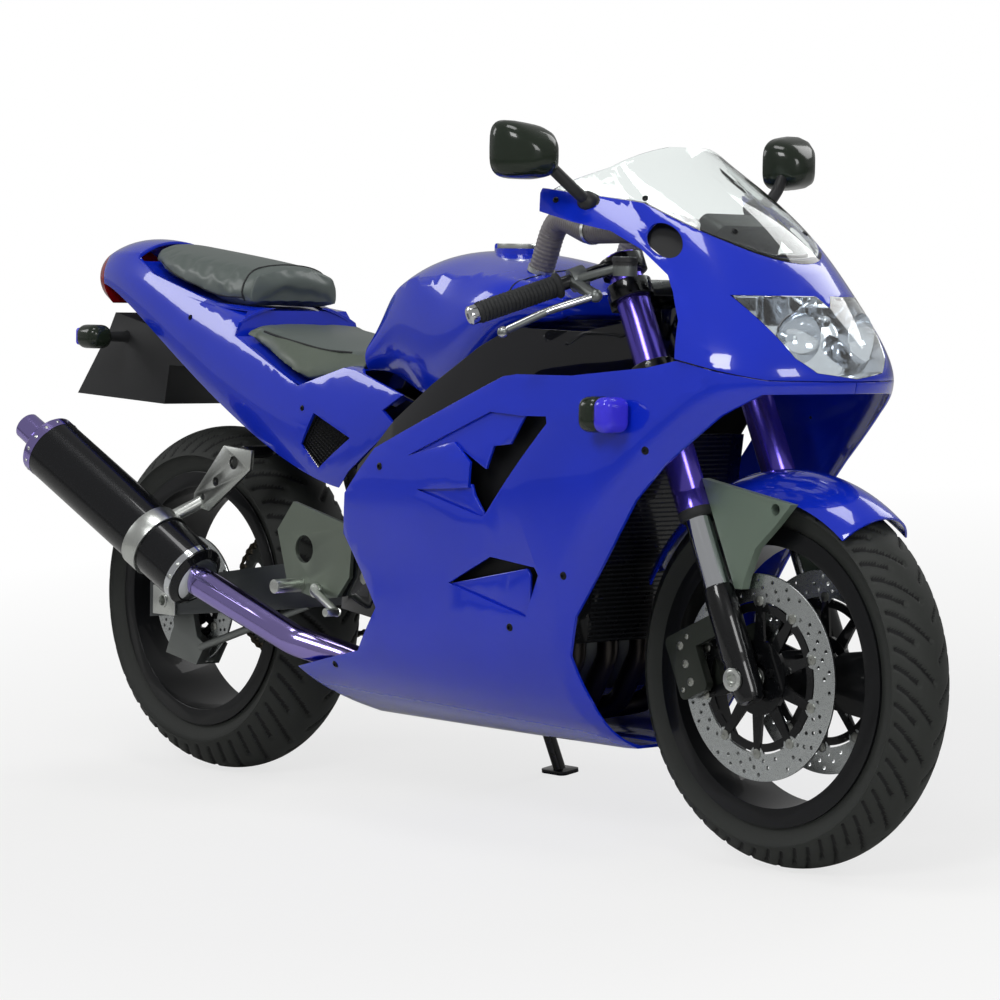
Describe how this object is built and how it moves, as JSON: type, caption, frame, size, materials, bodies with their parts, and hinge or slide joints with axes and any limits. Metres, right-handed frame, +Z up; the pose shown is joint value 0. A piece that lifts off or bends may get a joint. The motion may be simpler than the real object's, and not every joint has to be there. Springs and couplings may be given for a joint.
{
  "type": "motorcycle",
  "caption": "Sport motorcycle with a full fairing, parked on its side stand; it steers, rolls, folds its stand and opens its filler lid.",
  "frame": {"origin": "centre of the bottom of the bounding box of the parked machine, on the floor", "axes": "+X towards the front wheel, +Y to the rider's left, +Z up"},
  "size_m": [2.1231, 0.7702, 1.1897],
  "materials": {
    "black_paint": "gloss",
    "tyre": "matte",
    "steel": "brushed",
    "frame_alloy": "satin",
    "iron": "rough",
    "black_plastic": "matte",
    "bare_alloy": "satin",
    "violet_anodised": "gloss",
    "chrome": "mirror",
    "rubber": "matte",
    "blue_paint": "gloss",
    "guard_grey": "matte",
    "clear": "clear",
    "lamp_lens": "gloss",
    "seat_vinyl": "satin",
    "gloss_black": "gloss",
    "hose_grey": "satin"
  },
  "bodies": {
    "chassis": {"chain": "steel", "frame": "frame_alloy", "pivot_bolt": "steel", "subframe": "black_paint", "engine": "iron", "radiator": "black_paint", "exhaust_pipe": "steel", "silencer": "black_plastic", "silencer_hanger": "bare_alloy", "swingarm": "frame_alloy", "rear_axle": "bare_alloy", "rear_shock": "steel", "rear_caliper": "bare_alloy", "fairing_right": "blue_paint", "fairing_left": "blue_paint", "vent_vanes": "blue_paint", "fairing_stays": "black_paint", "upper_cowl": "blue_paint", "headlight": "clear", "windscreen": "clear", "fuel_tank": "blue_paint", "tail_cowl": "blue_paint", "tail_lamp": "lamp_lens", "rider_seat": "seat_vinyl", "pillion_seat": "seat_vinyl", "rear_mudguard": "black_plastic", "indicators": "gloss_black", "mirrors": "gloss_black", "instrument_panel": "black_plastic", "air_hoses": "hose_grey", "footrest_plates": "bare_alloy", "foot_controls": "bare_alloy"},
    "fork": {"fork_outers": "violet_anodised", "fork_inners": "chrome", "fork_lowers": "black_paint", "fork_clamps": "bare_alloy", "handlebars": "black_paint", "grips": "rubber", "hand_controls": "bare_alloy", "front_mudguard": "blue_paint", "fork_guards": "guard_grey", "front_axle": "steel", "front_calipers": "bare_alloy"},
    "front_wheel": {"front_rim": "black_paint", "front_tyre": "tyre", "front_discs": "steel"},
    "rear_wheel": {"rear_rim": "black_paint", "rear_tyre": "tyre", "rear_disc": "steel", "rear_sprocket": "steel"},
    "stand": {"side_stand": "black_paint"},
    "filler_lid": {"fuel_lid": "bare_alloy"}
  },
  "joints": [
    {"name": "steering", "type": "hinge", "parent": "chassis", "child": "fork", "pos_m": [0.51202, -0.00798, 0.75533], "axis": [-0.4147, 0.1266, 0.9011], "range_deg": [-28, 28]},
    {"name": "front_wheel_spin", "type": "hinge", "parent": "fork", "child": "front_wheel", "pos_m": [0.76162, -0.07229, 0.29773], "axis": [0, 0.9903, -0.1392], "continuous": true},
    {"name": "rear_wheel_spin", "type": "hinge", "parent": "chassis", "child": "rear_wheel", "pos_m": [-0.66838, -0.07016, 0.31292], "axis": [0, 0.9903, -0.1392], "continuous": true},
    {"name": "side_stand_fold", "type": "hinge", "parent": "chassis", "child": "stand", "pos_m": [-0.07836, 0.09964, 0.27088], "axis": [0.0492, 0.9767, 0.209], "range_deg": [0, 97.21]},
    {"name": "filler_lid_hinge", "type": "hinge", "parent": "chassis", "child": "filler_lid", "pos_m": [0.07357, 0.01965, 0.95195], "axis": [0, -0.9903, 0.1392], "range_deg": [0, 90]}
  ]
}
